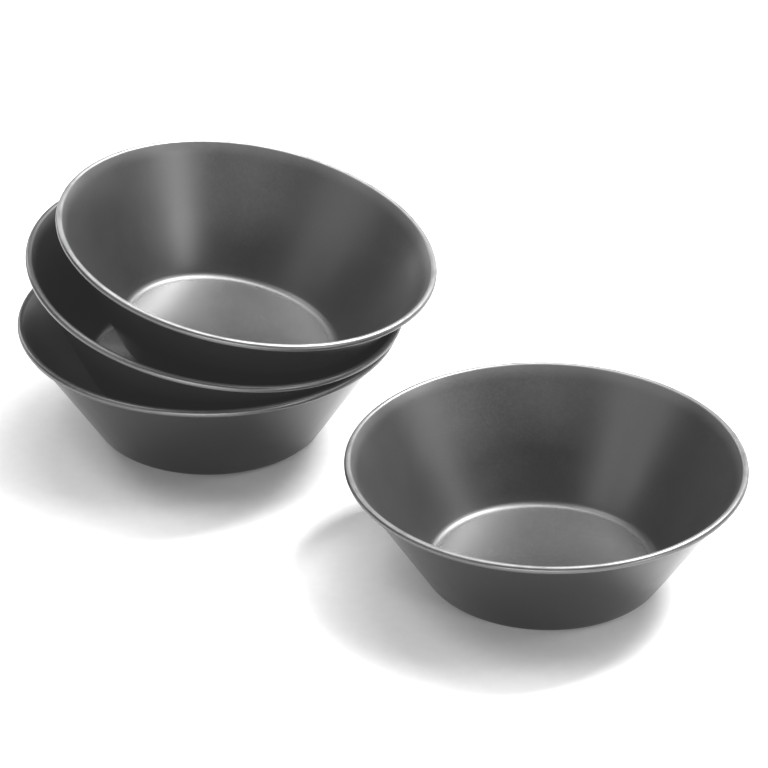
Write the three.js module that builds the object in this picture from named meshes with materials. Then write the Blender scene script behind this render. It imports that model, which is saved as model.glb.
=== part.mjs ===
import * as THREE from 'three';

// A set of custard tart moulds: three nested askew in a stack, and one standing by itself.
// Every mould is pressed from one disc of coated sheet steel, with a flat base, a rounded
// corner, a straight flared wall and a rim that is curled outwards. Millimetres, +Z up.

// One mould
const RIM_DIAMETER = 75; // outside the curl
const BASE_DIAMETER = 44; // where the wall's outer face would meet the underside
const MOULD_HEIGHT = 23.5;
const SHEET_THICKNESS = 0.6;
const CURL_DIAMETER = 1.4;
const CORNER_RADIUS = 2.5; // outside, between the base and the wall

// How the moulds stand: leans in degrees from upright, headings in degrees from +X towards +Y,
// and shifts of a nested mould's base from the base of the mould below it
const NEST_CLEARANCE = 0.3;
const MIDDLE_LEAN = 11;
const MIDDLE_LEAN_HEADING = -24.5;
const MIDDLE_SHIFT_X = -2.3;
const MIDDLE_SHIFT_Y = 1.2;
const TOP_LEAN = 10.4;
const TOP_LEAN_HEADING = -18.4;
const TOP_SHIFT_X = 6.2;
const TOP_SHIFT_Y = -0.4;
const STANDING_GAP = 9.5; // from the rim of the lowest mould in the stack
const STANDING_HEADING = -40;

// Facets of the turned shape, and how closely a nested mould is lowered to its clearance
const TURN_FACETS = 60;
const CURL_FACETS = 9;
const CORNER_FACETS = 4;
const SEAT_TOLERANCE = 0.001;

// Dark grey non-stick coat, baked on the steel
const COAT = { color: 0x48494b, roughness: 0.4, metalness: 0.5 };

// Cross-section of the pressed sheet in radius and height, from the axis under the base,
// out and up the outer face, round the curl, and down the inner face to the axis again.
// The inner face runs smoothly into the curl, which closes against the outer face.
function sheetSection() {
  const curlRadius = CURL_DIAMETER / 2;
  const curlCentre = new THREE.Vector2(RIM_DIAMETER / 2 - curlRadius, MOULD_HEIGHT - curlRadius);
  const baseEdge = new THREE.Vector2(BASE_DIAMETER / 2, 0);
  const wall = curlCentre.clone().sub(baseEdge);
  const flare = Math.atan2(wall.x, wall.y) - Math.asin((curlRadius - SHEET_THICKNESS) / wall.length());

  const cornerSetback = CORNER_RADIUS * Math.tan((Math.PI / 2 - flare) / 2);
  const cornerCentre = new THREE.Vector2(baseEdge.x - cornerSetback, CORNER_RADIUS);
  const curlEnd = Math.PI - flare;
  const curlStart = curlEnd + Math.acos(1 - SHEET_THICKNESS / curlRadius) - 2 * Math.PI;

  return [
    new THREE.Vector2(0, 0),
    ...arc(cornerCentre, CORNER_RADIUS, -Math.PI / 2, -flare, CORNER_FACETS),
    ...arc(curlCentre, curlRadius, curlStart, curlEnd, CURL_FACETS),
    ...arc(cornerCentre, CORNER_RADIUS - SHEET_THICKNESS, -flare, -Math.PI / 2, CORNER_FACETS),
    new THREE.Vector2(0, SHEET_THICKNESS),
  ];
}

function arc(centre, radius, from, to, facets) {
  const clockwise = to < from;
  const curve = new THREE.EllipseCurve(centre.x, centre.y, radius, radius, from, to, clockwise);
  return curve.getPoints(facets);
}

// A mould standing upright on the origin, turned about its own axis
function mould(name) {
  const geometry = new THREE.LatheGeometry(section, TURN_FACETS).rotateX(Math.PI / 2);
  const mesh = new THREE.Mesh(geometry, new THREE.MeshStandardMaterial(COAT));
  mesh.name = name;
  return mesh;
}

// Tips a mould so that its axis leans towards a heading
function tip(mesh, lean, heading) {
  const turn = THREE.MathUtils.degToRad(heading);
  const hinge = new THREE.Vector3(-Math.sin(turn), Math.cos(turn), 0);
  mesh.quaternion.setFromAxisAngle(hinge, THREE.MathUtils.degToRad(lean));
}

// Least distance from the corners of one mould to the cross-section of another
function gapFrom(mesh, other) {
  const toOther = other.matrix.clone().invert().multiply(mesh.matrix);
  const corners = mesh.geometry.getAttribute('position');
  const corner = new THREE.Vector3();
  const nearest = new THREE.Vector3();
  let least = Infinity;
  for (let i = 0; i < corners.count; i++) {
    corner.fromBufferAttribute(corners, i).applyMatrix4(toOther);
    corner.set(Math.hypot(corner.x, corner.y), 0, corner.z);
    for (const edge of sectionEdges) {
      edge.closestPointToPoint(corner, true, nearest);
      least = Math.min(least, nearest.distanceTo(corner));
    }
  }
  return least;
}

// Lowers a tipped mould from well above the one below, until only the nesting clearance is left
function nest(mesh, below, shiftX, shiftY) {
  const startHeight = 2 * MOULD_HEIGHT;
  mesh.position.copy(below.position).add(new THREE.Vector3(shiftX, shiftY, startHeight));
  below.updateMatrix();
  let spare = Infinity;
  while (spare > SEAT_TOLERANCE) {
    mesh.updateMatrix();
    spare = Math.min(gapFrom(mesh, below), gapFrom(below, mesh)) - NEST_CLEARANCE;
    mesh.position.z -= spare;
  }
}

const section = sheetSection();
const sectionEdges = section.slice(1).map((end, i) => {
  const start = section[i];
  return new THREE.Line3(new THREE.Vector3(start.x, 0, start.y), new THREE.Vector3(end.x, 0, end.y));
});

// The stack: the lowest mould stands upright and the next two lean in it
const bottom = mould('stack_bottom_mould');
const middle = mould('stack_middle_mould');
const top = mould('stack_top_mould');
tip(middle, MIDDLE_LEAN, MIDDLE_LEAN_HEADING);
nest(middle, bottom, MIDDLE_SHIFT_X, MIDDLE_SHIFT_Y);
tip(top, TOP_LEAN, TOP_LEAN_HEADING);
nest(top, middle, TOP_SHIFT_X, TOP_SHIFT_Y);

// The mould that stands by itself beside the stack
const standing = mould('standing_mould');
const standingTurn = THREE.MathUtils.degToRad(STANDING_HEADING);
const standingDistance = RIM_DIAMETER + STANDING_GAP;
standing.position.set(Math.cos(standingTurn), Math.sin(standingTurn), 0).multiplyScalar(standingDistance);

// The set's origin is the middle of the surface that it stands on
const moulds = new THREE.Group().add(bottom, middle, top, standing);
const extent = new THREE.Box3().setFromObject(moulds, true);
const centre = extent.getCenter(new THREE.Vector3());
moulds.position.set(-centre.x, -centre.y, -extent.min.z);

const set = new THREE.Group();
set.name = 'custard_tart_moulds';
set.add(moulds);

export default set;
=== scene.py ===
import math

import bpy
import numpy as np
from mathutils import Matrix, Vector


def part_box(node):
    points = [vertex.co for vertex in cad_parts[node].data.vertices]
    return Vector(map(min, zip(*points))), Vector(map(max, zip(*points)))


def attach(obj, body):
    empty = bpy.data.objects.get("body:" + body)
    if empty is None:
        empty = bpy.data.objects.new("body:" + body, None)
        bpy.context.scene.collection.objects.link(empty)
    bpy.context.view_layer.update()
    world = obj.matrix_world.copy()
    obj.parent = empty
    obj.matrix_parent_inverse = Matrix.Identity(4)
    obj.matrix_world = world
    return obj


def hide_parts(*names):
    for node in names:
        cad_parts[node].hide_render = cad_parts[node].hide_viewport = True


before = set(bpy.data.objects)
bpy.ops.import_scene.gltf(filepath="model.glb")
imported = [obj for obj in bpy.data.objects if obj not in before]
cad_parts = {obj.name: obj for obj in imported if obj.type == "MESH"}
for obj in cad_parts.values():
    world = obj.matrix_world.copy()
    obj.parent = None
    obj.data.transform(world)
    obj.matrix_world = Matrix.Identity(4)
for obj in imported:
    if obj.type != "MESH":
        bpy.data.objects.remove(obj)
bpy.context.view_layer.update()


# The moulds: four alike, each drawn in a press from one disc of sheet steel to a flat base, a
# rounded corner and a straight flared wall. The edge is rolled outwards into a tight curl whose
# cut edge stops just short of the wall. A dark satin non-stick coat is baked on. On the rim it is
# thinned by use to the bare steel, and the light grey there also paints the rim's highlight. The
# coat's greys also carry painted light on the inner floor and just under the rim, and painted
# shade on the outer wall.
standing_low, standing_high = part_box("standing_mould")
MOULD_HEIGHT = standing_high.z - standing_low.z
RIM_RADIUS = (standing_high.x - standing_low.x) / 2
BASE_RADIUS = 0.022  # where the wall's outer face would meet the underside
SHEET = 0.0006
CURL_RADIUS = 0.0007
to_curl = Vector((RIM_RADIUS - CURL_RADIUS - BASE_RADIUS, MOULD_HEIGHT - CURL_RADIUS))
# the wall's lean from upright
FLARE = math.atan2(*to_curl) - math.asin((CURL_RADIUS - SHEET) / to_curl.length)
CORNER_RADIUS = 0.0025
FLAT_RADIUS = BASE_RADIUS - CORNER_RADIUS * math.tan((math.pi / 2 - FLARE) / 2)
CUT_EDGE_RADIUS = 0.0001
CUT_EDGE_TURN = 0.15  # radians of the curl that its rounded cut edge takes up
FLAT_STEPS = 10
CORNER_STEPS = 10
WALL_STEPS = 14
CURL_STEPS = 22
CUT_EDGE_STEPS = 4


def arc(centre, radius, start, end, steps):
    angles = np.linspace(start, end, steps + 1)
    return [np.array(centre) + radius * np.array((math.cos(a), math.sin(a))) for a in angles]


def run(start, end, steps):
    """Points of a straight run, without its ends."""
    shares = np.linspace(0, 1, steps + 1)[1:-1]
    return [np.array(start) + share * (np.array(end) - np.array(start)) for share in shares]


def sheet_section():
    """Radius and height along the outer face from the axis up, and along the curl and inner face."""
    curl_centre = np.array((RIM_RADIUS - CURL_RADIUS, MOULD_HEIGHT - CURL_RADIUS))
    up_wall = np.array((math.sin(FLARE), math.cos(FLARE)))
    out_wall = np.array((math.cos(FLARE), -math.sin(FLARE)))

    corner_centre = (FLAT_RADIUS, CORNER_RADIUS)
    outer_corner = arc(corner_centre, CORNER_RADIUS, -math.pi / 2, -FLARE, CORNER_STEPS)
    inner_corner = arc(corner_centre, CORNER_RADIUS - SHEET, -FLARE, -math.pi / 2, CORNER_STEPS)

    # the curl turns through three quarters of a circle, so its cut edge faces the wall
    slot = CURL_RADIUS - SHEET
    slot_end = curl_centre - slot * up_wall
    wall_end = slot_end - slot * out_wall
    to_cut_edge = CUT_EDGE_RADIUS * out_wall
    cut_edge_centre = curl_centre - (CURL_RADIUS - CUT_EDGE_RADIUS) * up_wall + to_cut_edge
    cut_edge_ends = (math.pi - FLARE, 1.5 * math.pi - FLARE)
    cut_edge = arc(cut_edge_centre, CUT_EDGE_RADIUS, *cut_edge_ends, CUT_EDGE_STEPS)
    curl_ends = (-math.pi / 2 - FLARE + CUT_EDGE_TURN, math.pi - FLARE)
    curl = arc(curl_centre, CURL_RADIUS, *curl_ends, CURL_STEPS)
    outer_face = [
        (0, 0),
        *run((0, 0), outer_corner[0], FLAT_STEPS),
        *outer_corner,
        *run(outer_corner[-1], wall_end, WALL_STEPS),
        wall_end,
    ]
    inner_face = [
        slot_end,
        *cut_edge,
        *curl,
        *run(curl[-1], inner_corner[0], WALL_STEPS),
        *inner_corner,
        *run(inner_corner[-1], (0, SHEET), FLAT_STEPS),
        (0, SHEET),
    ]
    return outer_face, inner_face


# how the section is turned to a mould, and what each vertex keeps for the coat
TURN_STEPS = 240
WAVE_HEIGHT = 0.00010
WAVE_SIZE = 0.020
MERGE_DISTANCE = 1e-6
CREASE_ANGLE = math.radians(40)
MOULD_POINT = "mould_point"  # its place in its own mould, upright on its base centre
OUTSIDE = "outside"  # 1 on the outer face below the curl, and 0 elsewhere
WEAR_AND_HIGHLIGHT = "wear_and_highlight"  # how bare the rim of the mould is, from 0 to 1, which also sets the strength of its painted highlight


def place_node(tree, kind, inputs=None, **settings):
    """A node with its settings, whose inputs are values or the outputs of other nodes."""
    node = tree.nodes.new(kind)
    for setting, value in settings.items():
        setattr(node, setting, value)
    for socket, value in (inputs or {}).items():
        if isinstance(value, bpy.types.NodeSocket):
            tree.links.new(value, node.inputs[socket])
        else:
            node.inputs[socket].default_value = value
    return node


def maths(tree, operation, *values):
    kind = "ShaderNodeMath"
    return place_node(tree, kind, dict(enumerate(values)), operation=operation).outputs[0]


def stretch(tree, point, scale):
    kind = "ShaderNodeVectorMath"
    return place_node(tree, kind, {0: point, 1: scale}, operation="MULTIPLY").outputs[0]


def turning_tree():
    """Geometry Nodes that turn a section about its axis into a closed sheet with a slight wave."""
    tree = bpy.data.node_groups.new("turned_mould", "GeometryNodeTree")
    sockets = {
        name: tree.interface.new_socket(name, in_out="INPUT", socket_type=kind).identifier
        for name, kind in (
            ("Section", "NodeSocketGeometry"),
            ("Turn Steps", "NodeSocketInt"),
            ("Rim Radius", "NodeSocketFloat"),
            ("Height", "NodeSocketFloat"),
            ("Wave Height", "NodeSocketFloat"),
            ("Wave Size", "NodeSocketFloat"),
            ("Wave Seed", "NodeSocketFloat"),
            ("Inner Coat", "NodeSocketMaterial"),
            ("Outer Coat", "NodeSocketMaterial"),
        )
    }
    tree.interface.new_socket("Mould", in_out="OUTPUT", socket_type="NodeSocketGeometry")
    given = tree.nodes.new("NodeGroupInput").outputs

    # the section is swept round a circle at the rim, so it is first moved in by the rim's radius
    section = place_node(tree, "GeometryNodeMeshToCurve", {"Mesh": given["Section"]})
    to_axis = maths(tree, "MULTIPLY", given["Rim Radius"], -1.0)
    inwards = place_node(tree, "ShaderNodeCombineXYZ", {"X": to_axis})
    moved = place_node(
        tree,
        "GeometryNodeSetPosition",
        {"Geometry": section.outputs[0], "Offset": inwards.outputs[0]},
    )
    path = place_node(
        tree,
        "GeometryNodeCurvePrimitiveCircle",
        {"Resolution": given["Turn Steps"], "Radius": given["Rim Radius"]},
    )
    turned = place_node(
        tree,
        "GeometryNodeCurveToMesh",
        {"Curve": path.outputs["Curve"], "Profile Curve": moved.outputs[0]},
    )
    closed = place_node(
        tree,
        "GeometryNodeMergeByDistance",
        {"Geometry": turned.outputs[0], "Distance": MERGE_DISTANCE},
    )

    place = place_node(tree, "GeometryNodeInputPosition").outputs[0]
    named = place_node(
        tree,
        "GeometryNodeStoreNamedAttribute",
        {"Geometry": closed.outputs[0], "Name": MOULD_POINT, "Value": place},
        data_type="FLOAT_VECTOR",
    )

    # the wall's slight wave grows from the base to the rim
    level = stretch(tree, place, (1, 1, 0))
    outwards = place_node(tree, "ShaderNodeVectorMath", {0: level}, operation="NORMALIZE")
    per_size = maths(tree, "DIVIDE", 1.0, given["Wave Size"])
    noise = place_node(
        tree,
        "ShaderNodeTexNoise",
        {"Vector": place, "W": given["Wave Seed"], "Scale": per_size, "Detail": 1.0},
        noise_dimensions="4D",
    )
    swing = maths(tree, "SUBTRACT", noise.outputs[0], 0.5)
    height = place_node(tree, "ShaderNodeSeparateXYZ", {0: place}).outputs["Z"]
    share_up = maths(tree, "DIVIDE", height, given["Height"])
    wave = maths(tree, "MULTIPLY", maths(tree, "MULTIPLY", swing, share_up), given["Wave Height"])
    offset = place_node(
        tree,
        "ShaderNodeVectorMath",
        {0: outwards.outputs[0], "Scale": wave},
        operation="SCALE",
    )
    waved = place_node(
        tree,
        "GeometryNodeSetPosition",
        {"Geometry": named.outputs[0], "Offset": offset.outputs[0]},
    )

    smooth = place_node(tree, "GeometryNodeSetShadeSmooth", {"Geometry": waved.outputs[0]})
    angle = place_node(tree, "GeometryNodeInputMeshEdgeAngle").outputs["Unsigned Angle"]
    creased = maths(tree, "GREATER_THAN", angle, CREASE_ANGLE)
    sharp = place_node(
        tree,
        "GeometryNodeSetShadeSmooth",
        {"Geometry": smooth.outputs[0], "Selection": creased, "Shade Smooth": False},
        domain="EDGE",
    )
    real = place_node(tree, "GeometryNodeRealizeInstances", {"Geometry": sharp.outputs[0]})
    coated_inside = place_node(
        tree,
        "GeometryNodeSetMaterial",
        {"Geometry": real.outputs[0], "Material": given["Inner Coat"]},
    )
    side = place_node(
        tree, "GeometryNodeInputNamedAttribute", {"Name": OUTSIDE}, data_type="FLOAT"
    )
    is_outside = maths(tree, "GREATER_THAN", side.outputs["Attribute"], 0.5)
    coated = place_node(
        tree,
        "GeometryNodeSetMaterial",
        {
            "Geometry": coated_inside.outputs[0],
            "Selection": is_outside,
            "Material": given["Outer Coat"],
        },
    )
    out = tree.nodes.new("NodeGroupOutput")
    tree.links.new(coated.outputs[0], out.inputs["Mould"])
    return tree, sockets


# the coat: its greys, gloss and grain, the marks of the drawing, its wearing on the rim, and the
# painted light and shade laid into its greys
PAINTED_LIGHT_FLOOR_GREY = 0.032  # lighter than the wall's grey: painted light for the light the floor catches
INNER_GREY = 0.011
# darker than the inner coat's grey: painted shade on the outer walls
SHADED_OUTER_GREY = 0.005
INNER_INDEX = 1.8
OUTER_INDEX = 1.31
FLOOR_ROUGHNESS = 0.23
CORNER_ROUGHNESS = 0.42  # the coat is thinnest where the sheet was bent and stretched most
WALL_ROUGHNESS = 0.36
OUTER_ROUGHNESS = 0.21
NOISE_SPAN = (0.3, 0.7)  # where most of a noise lies
CLOUD_SIZE = 0.011
CLOUD_TONES = (0.92, 1.08)  # times the grey
CLOUD_ROUGHNESS = 0.015  # added or taken off
SPECK_SIZE = 0.00045
SPECK_SPAN = (0.4, 0.75)
SPECK_TONES = (1.0, 1.4)  # times the grey
SPECK_ROUGHNESS = 0.012  # added or taken off
PEEL_SIZE = 0.0009
PEEL_HEIGHT = 0.000007
DRAW_LINE_SIZE = 0.0005
DRAW_LINE_STRETCH = 30
DRAW_LINE_HEIGHT = 0.000003
DRAW_RING_SIZE = 0.0011
DRAW_RING_HEIGHT = 0.000004
WORN_AND_HIGHLIGHT_FROM = math.radians(38)  # round the curl, from straight outwards over the crest
WORN_AND_HIGHLIGHT_TO = math.radians(138)
WORN_AND_HIGHLIGHT_FADE = math.radians(28)
WORN_AND_HIGHLIGHT_REACH = 1.15 * CURL_RADIUS  # from the curl's centre, with room for the wave of the wall
WORN_AND_HIGHLIGHT_PATCH_SIZE = 0.0035
WORN_AND_HIGHLIGHT_PATCH_SPAN = (0.3, 0.6)
WORN_AND_HIGHLIGHT_PATCH_SHARES = (0.55, 1.0)
# the bare steel's grey is set light enough to paint the rim's highlight line as well
WORN_AND_HIGHLIGHT_GREY = 0.25
WORN_METAL = 0.55
WORN_ROUGHNESS = 0.42
PAINTED_LIGHT_DEPTH = 0.0026  # below the crest: painted light, the inner wall painted lighter just under the rim where more light reaches it
PAINTED_LIGHT_GREY = 0.045
PAINTED_LIGHT_LEAST_GREY = 0.7 * PAINTED_LIGHT_GREY


def ramp(tree, value, start, end, low=0.0, high=1.0):
    """A smooth step from low to high as the value goes from start to end."""
    kind = "ShaderNodeMapRange"
    inputs = {"Value": value, "From Min": start, "From Max": end, "To Min": low, "To Max": high}
    return place_node(tree, kind, inputs, interpolation_type="SMOOTHSTEP").outputs["Result"]


def grain(tree, point, size, detail=2.0):
    """Noise from 0 to 1 with lumps of about this size in metres."""
    inputs = {"Vector": point, "Scale": 1 / size, "Detail": detail}
    return place_node(tree, "ShaderNodeTexNoise", inputs).outputs[0]


def blend(tree, share, low, high):
    inputs = {"Factor": share, "A": low, "B": high}
    return place_node(tree, "ShaderNodeMix", inputs, data_type="FLOAT").outputs[0]


def baked_coat(name, floor_grey, coat_grey, index, floor_roughness, corner_roughness, wall_roughness):
    """A satin coat with a fine orange peel, marks of the drawing on the wall, bare steel over the
    crest of the curl whose grey also paints the rim's highlight, and painted light just under the
    rim.
    """
    coat = bpy.data.materials.new(name)
    coat.use_nodes = True
    tree = coat.node_tree
    satin = tree.nodes["Principled BSDF"]
    satin.inputs["IOR"].default_value = index
    point = place_node(tree, "ShaderNodeAttribute", attribute_name=MOULD_POINT).outputs["Vector"]
    height = place_node(tree, "ShaderNodeSeparateXYZ", {"Vector": point}).outputs["Z"]
    level = stretch(tree, point, (1, 1, 0))
    from_axis = place_node(tree, "ShaderNodeVectorMath", {0: level}, operation="LENGTH")
    radius = from_axis.outputs["Value"]

    # the coat is gone through to the steel over the crest of the curl, in soft patches, and the light
    # grey of the steel there also paints the rim's highlight
    across = maths(tree, "SUBTRACT", radius, RIM_RADIUS - CURL_RADIUS)
    above = maths(tree, "SUBTRACT", height, MOULD_HEIGHT - CURL_RADIUS)
    round_curl = maths(tree, "ARCTAN2", above, across)
    squares = maths(
        tree, "ADD", maths(tree, "POWER", across, 2.0), maths(tree, "POWER", above, 2.0)
    )
    on_curl = maths(tree, "LESS_THAN", maths(tree, "SQRT", squares), WORN_AND_HIGHLIGHT_REACH)
    fade_in = ramp(tree, round_curl, WORN_AND_HIGHLIGHT_FROM, WORN_AND_HIGHLIGHT_FROM + WORN_AND_HIGHLIGHT_FADE)
    fade_out = ramp(tree, round_curl, WORN_AND_HIGHLIGHT_TO - WORN_AND_HIGHLIGHT_FADE, WORN_AND_HIGHLIGHT_TO, 1.0, 0.0)
    patch_grain = grain(tree, point, WORN_AND_HIGHLIGHT_PATCH_SIZE, detail=5.0)
    patches = ramp(tree, patch_grain, *WORN_AND_HIGHLIGHT_PATCH_SPAN, *WORN_AND_HIGHLIGHT_PATCH_SHARES)
    band = maths(tree, "MULTIPLY", maths(tree, "MULTIPLY", fade_in, fade_out), on_curl)
    wear_and_highlight = place_node(tree, "ShaderNodeAttribute", attribute_name=WEAR_AND_HIGHLIGHT).outputs["Fac"]
    worn_and_highlight = maths(tree, "MULTIPLY", maths(tree, "MULTIPLY", band, patches), wear_and_highlight)

    # a cloudy, specked grey, with painted light that lightens the inner wall just under the rim
    clouds = grain(tree, point, CLOUD_SIZE, detail=4.0)
    specks = grain(tree, point, SPECK_SIZE)
    in_corner = ramp(tree, radius, FLAT_RADIUS - SHEET, FLAT_RADIUS + SHEET)
    on_wall = ramp(tree, height, SHEET, SHEET + CORNER_RADIUS)
    # painted light: the inner coat's floor takes a lighter grey than its wall
    plain_grey = blend(tree, in_corner, floor_grey, coat_grey)
    cloud_tone = ramp(tree, clouds, *NOISE_SPAN, *CLOUD_TONES)
    cloudy_grey = maths(tree, "MULTIPLY", plain_grey, cloud_tone)
    speck_tone = ramp(tree, specks, *SPECK_SPAN, *SPECK_TONES)
    specked_grey = maths(tree, "MULTIPLY", cloudy_grey, speck_tone)
    inner_side = ramp(tree, across, -CURL_RADIUS / 2, 0.0, 1.0, 0.0)
    near_rim = ramp(tree, height, MOULD_HEIGHT - PAINTED_LIGHT_DEPTH, MOULD_HEIGHT)
    painted_light_band = maths(tree, "MULTIPLY", near_rim, inner_side)
    painted_light_grey = ramp(tree, clouds, *NOISE_SPAN, PAINTED_LIGHT_LEAST_GREY, PAINTED_LIGHT_GREY)
    painted_light_tone = maths(tree, "MULTIPLY", painted_light_band, painted_light_grey)
    coat_tone = maths(tree, "ADD", specked_grey, painted_light_tone)
    grey = blend(tree, worn_and_highlight, coat_tone, WORN_AND_HIGHLIGHT_GREY)
    colour = place_node(tree, "ShaderNodeCombineColor", {n: grey for n in range(3)})
    tree.links.new(colour.outputs[0], satin.inputs["Base Color"])
    tree.links.new(maths(tree, "MULTIPLY", worn_and_highlight, WORN_METAL), satin.inputs["Metallic"])

    below = blend(tree, in_corner, floor_roughness, corner_roughness)
    plain_roughness = blend(tree, on_wall, below, wall_roughness)
    cloud_change = ramp(tree, clouds, *NOISE_SPAN, -CLOUD_ROUGHNESS, CLOUD_ROUGHNESS)
    uneven = maths(tree, "ADD", plain_roughness, cloud_change)
    speck_change = ramp(tree, specks, *NOISE_SPAN, -SPECK_ROUGHNESS, SPECK_ROUGHNESS)
    mottled = maths(tree, "ADD", uneven, speck_change)
    tree.links.new(blend(tree, worn_and_highlight, mottled, WORN_ROUGHNESS), satin.inputs["Roughness"])

    # orange peel all over, and lines up the wall and rings round it from the drawing
    along_wall = stretch(tree, point, (1, 1, 1 / DRAW_LINE_STRETCH))
    lines = grain(tree, along_wall, DRAW_LINE_SIZE, detail=1.0)
    rings = grain(tree, stretch(tree, point, (0, 0, 1)), DRAW_RING_SIZE, detail=3.0)
    normal = None
    for relief, depth in (
        (grain(tree, point, PEEL_SIZE), PEEL_HEIGHT),
        (maths(tree, "MULTIPLY", lines, on_wall), DRAW_LINE_HEIGHT),
        (maths(tree, "MULTIPLY", rings, on_wall), DRAW_RING_HEIGHT),
    ):
        inputs = {"Height": relief, "Distance": depth}
        if normal:
            inputs["Normal"] = normal
        normal = place_node(tree, "ShaderNodeBump", inputs).outputs[0]
    tree.links.new(normal, satin.inputs["Normal"])
    return coat


def stance(node):
    """Where a mould stands: from upright on the origin to its CAD solid's base and lean."""
    points = np.array([v.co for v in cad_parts[node].data.vertices])
    middle = points.mean(axis=0)
    directions = np.linalg.eigh(np.cov((points - middle).T))[1]
    axis = directions[:, 0]  # the mould is flatter than it is wide
    axis = axis * np.sign(axis[2])
    base = middle + ((points - middle) @ axis).min() * axis
    lean = Vector((0, 0, 1)).rotation_difference(axis).to_matrix().to_4x4()
    return Matrix.Translation(base) @ lean


# a section's Y axis points down when it is swept round a circle
outer_face, inner_face = sheet_section()
section_points = [(radius, -height, 0) for radius, height in reversed(outer_face + inner_face)]
section_sides = [0.0] * len(inner_face) + [1.0] * len(outer_face)
section_edges = [(n, n + 1) for n in range(len(section_points) - 1)]
turned_mould, turned_inputs = turning_tree()
inner_roughness = (FLOOR_ROUGHNESS, CORNER_ROUGHNESS, WALL_ROUGHNESS)
outer_roughness = (OUTER_ROUGHNESS, OUTER_ROUGHNESS, OUTER_ROUGHNESS)
inner_coat = baked_coat("non_stick_coat", PAINTED_LIGHT_FLOOR_GREY, INNER_GREY, INNER_INDEX, *inner_roughness)
outer_coat = baked_coat("outer_lacquer_with_painted_shade", SHADED_OUTER_GREY, SHADED_OUTER_GREY, OUTER_INDEX, *outer_roughness)
moulds = {
    # body, spin in degrees, and how bare the rim is, which also sets the strength of its painted
    # highlight: strong on the two moulds whose rims catch the most light, weak on the lower two,
    # whose rims lie in the shade of the moulds above
    "stack_bottom_mould": ("stack_bottom", 140, 0.12),
    "stack_middle_mould": ("stack_middle", 25, 0.15),
    "stack_top_mould": ("stack_top", 260, 1.0),
    "standing_mould": ("standing", 0, 0.8),
}
for seed, (node, (body, spin, wear_and_highlight)) in enumerate(moulds.items()):
    section_mesh = bpy.data.meshes.new(node + "_section")
    section_mesh.from_pydata(section_points, section_edges, [])
    for attribute, marks in ((OUTSIDE, section_sides), (WEAR_AND_HIGHLIGHT, [wear_and_highlight] * len(section_points))):
        section_mesh.attributes.new(attribute, "FLOAT", "POINT").data.foreach_set("value", marks)
    mould = bpy.data.objects.new(node.replace("mould", "pressing"), section_mesh)
    bpy.context.scene.collection.objects.link(mould)
    turning = mould.modifiers.new("turned", "NODES")
    turning.node_group = turned_mould
    turning_values = {
        "Turn Steps": TURN_STEPS,
        "Rim Radius": RIM_RADIUS,
        "Height": MOULD_HEIGHT,
        "Wave Height": WAVE_HEIGHT,
        "Wave Size": WAVE_SIZE,
        "Wave Seed": float(seed),
        "Inner Coat": inner_coat,
        "Outer Coat": outer_coat,
    }
    for socket, value in turning_values.items():
        turning[turned_inputs[socket]] = value
    dependencies = bpy.context.evaluated_depsgraph_get()
    pressed = bpy.data.meshes.new_from_object(
        mould.evaluated_get(dependencies), preserve_all_data_layers=True, depsgraph=dependencies
    )
    mould.modifiers.remove(turning)
    mould.data = pressed
    pressed.transform(stance(node) @ Matrix.Rotation(math.radians(spin), 4, "Z"))
    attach(mould, body)
    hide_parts(node)


# The table: a sheet of plain white matt paper, laid flat under the moulds. It is far wider than
# the picture, so its edge is out of sight from every side.
TABLE_SIZE = 12.0
TABLE_WHITE = 0.87
TABLE_TONE = 0.01  # added to the white or taken off
PAPER_ROUGHNESS = 0.9
FIBRE_SIZE = 0.0025

paper = bpy.data.materials.new("white_paper")
paper.use_nodes = True
paper_tree = paper.node_tree
matt = paper_tree.nodes["Principled BSDF"]
matt.inputs["Roughness"].default_value = PAPER_ROUGHNESS
paper_point = place_node(paper_tree, "ShaderNodeTexCoord").outputs["Object"]
fibres = grain(paper_tree, paper_point, FIBRE_SIZE, detail=3.0)
paper_tones = (TABLE_WHITE - TABLE_TONE, TABLE_WHITE + TABLE_TONE)
paper_white = ramp(paper_tree, fibres, *NOISE_SPAN, *paper_tones)
white = place_node(paper_tree, "ShaderNodeCombineColor", {n: paper_white for n in range(3)})
paper_tree.links.new(white.outputs[0], matt.inputs["Base Color"])
half = TABLE_SIZE / 2
table_corners = [(-half, -half, 0), (half, -half, 0), (half, half, 0), (-half, half, 0)]
table_mesh = bpy.data.meshes.new("table")
table_mesh.from_pydata(table_corners, [], [(0, 1, 2, 3)])
table_mesh.materials.append(paper)
table = bpy.data.objects.new("table", table_mesh)
bpy.context.scene.collection.objects.link(table)


# The light: plain soft boxes round the table in a dark room. A small key box stands high behind
# the right, broad weak ones hang overhead on all sides but the front, and low ones stand round
# the moulds.
BOX_DISTANCE = 3.0
ROOM_GREY = 0.05


def soft_box(name, azimuth, elevation, width, depth, brightness):
    """A soft box that faces the moulds, its azimuth in degrees from the back towards the right."""
    turn = math.radians(azimuth)
    rise = math.radians(elevation)
    across = math.cos(rise)
    way = Vector((math.sin(turn) * across, math.cos(turn) * across, math.sin(rise)))
    lamp = bpy.data.lights.new(name, "AREA")
    lamp.shape = "RECTANGLE"
    lamp.size = width
    lamp.size_y = depth
    lamp.energy = brightness * math.pi * width * depth
    box = bpy.data.objects.new(name, lamp)
    box.location = way * BOX_DISTANCE
    box.rotation_euler = way.to_track_quat("Z", "Y").to_euler()
    bpy.context.scene.collection.objects.link(box)


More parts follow.
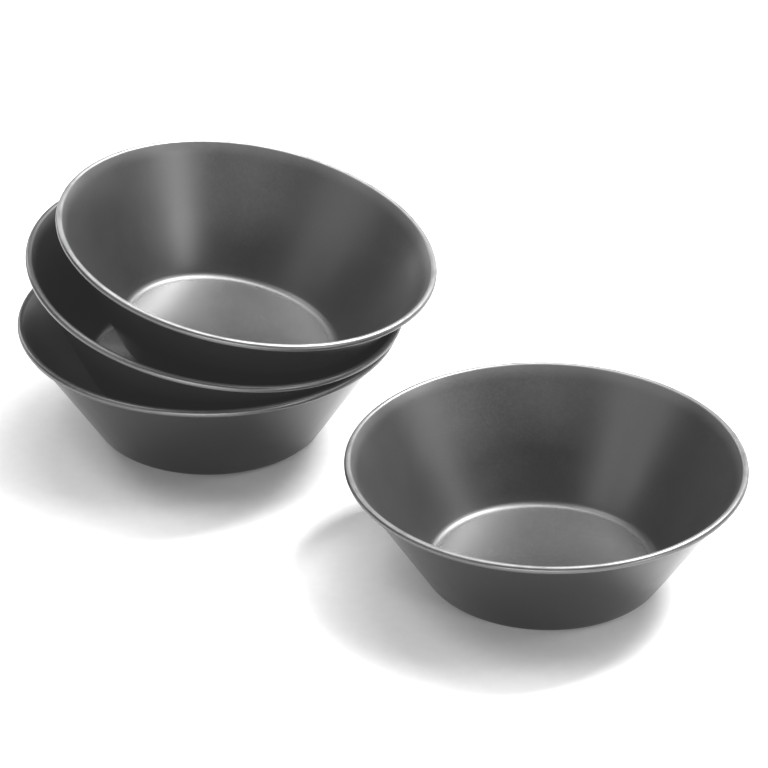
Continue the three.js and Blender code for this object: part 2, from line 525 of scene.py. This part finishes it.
soft_boxes = {
    # azimuth, elevation, width, depth, brightness
    "key_box": (60, 53, 0.75, 0.75, 78.0),
    "high_right_box": (85, 62, 1.50, 1.00, 8.8),
    "high_back_box": (38, 62, 1.50, 1.00, 7.5),
    "top_box": (0, 68, 1.75, 1.00, 7.9),
    "back_left_box": (322, 24, 1.00, 0.88, 7.2),
    "right_side_box": (92, 34, 1.25, 1.00, 5.3),
    "low_back_box": (40, 8, 1.50, 0.60, 2.5),
    "low_right_box": (128, 9, 0.80, 0.55, 23.9),
    "low_front_box": (185, 8, 2.00, 0.50, 20.0),
    "front_left_box": (230, 23, 0.80, 0.75, 3.9),
    "left_box": (254, 23, 0.80, 0.75, 2.6),
    "left_fill": (265, 62, 1.50, 1.25, 5.9),
}
for box_name, box_values in soft_boxes.items():
    soft_box(box_name, *box_values)
room = bpy.data.worlds.new("dim_room")
room.use_nodes = True
room_light = room.node_tree.nodes["Background"].inputs["Color"]
room_light.default_value = (ROOM_GREY, ROOM_GREY, ROOM_GREY, 1)
bpy.context.scene.world = room


# The camera: a long lens in front of the moulds, looking down on them at about 30 degrees. Glare
# from the bright white ground lifts the darkest tones a little.
VIEW_ELEVATION = 29.845
VIEW_ROLL = 0.4
VIEW_DISTANCE = 0.85
VIEW_LENS = 197.1
SENSOR_WIDTH = 36
GROUND_GLARE = 0.020
VIEW_TARGET_FROM_STANDING = Vector((-0.030189, 0.069013, 0))

view_rise = math.radians(VIEW_ELEVATION)
to_camera = Vector((0, -math.cos(view_rise), math.sin(view_rise)))
target = stance("standing_mould").translation + VIEW_TARGET_FROM_STANDING
lens = bpy.data.cameras.new("camera")
lens.lens = VIEW_LENS
lens.sensor_width = SENSOR_WIDTH
camera = bpy.data.objects.new("camera", lens)
stand = Matrix.Translation(target + VIEW_DISTANCE * to_camera)
tip_down = Matrix.Rotation(math.pi / 2 - view_rise, 4, "X")
camera.matrix_world = stand @ tip_down @ Matrix.Rotation(math.radians(VIEW_ROLL), 4, "Z")
bpy.context.scene.collection.objects.link(camera)
bpy.context.scene.camera = camera
film = bpy.context.scene.view_settings
film.view_transform = "Standard"
film.use_curve_mapping = True
film.curve_mapping.curves[3].points[0].location = (0, GROUND_GLARE)
film.curve_mapping.update()
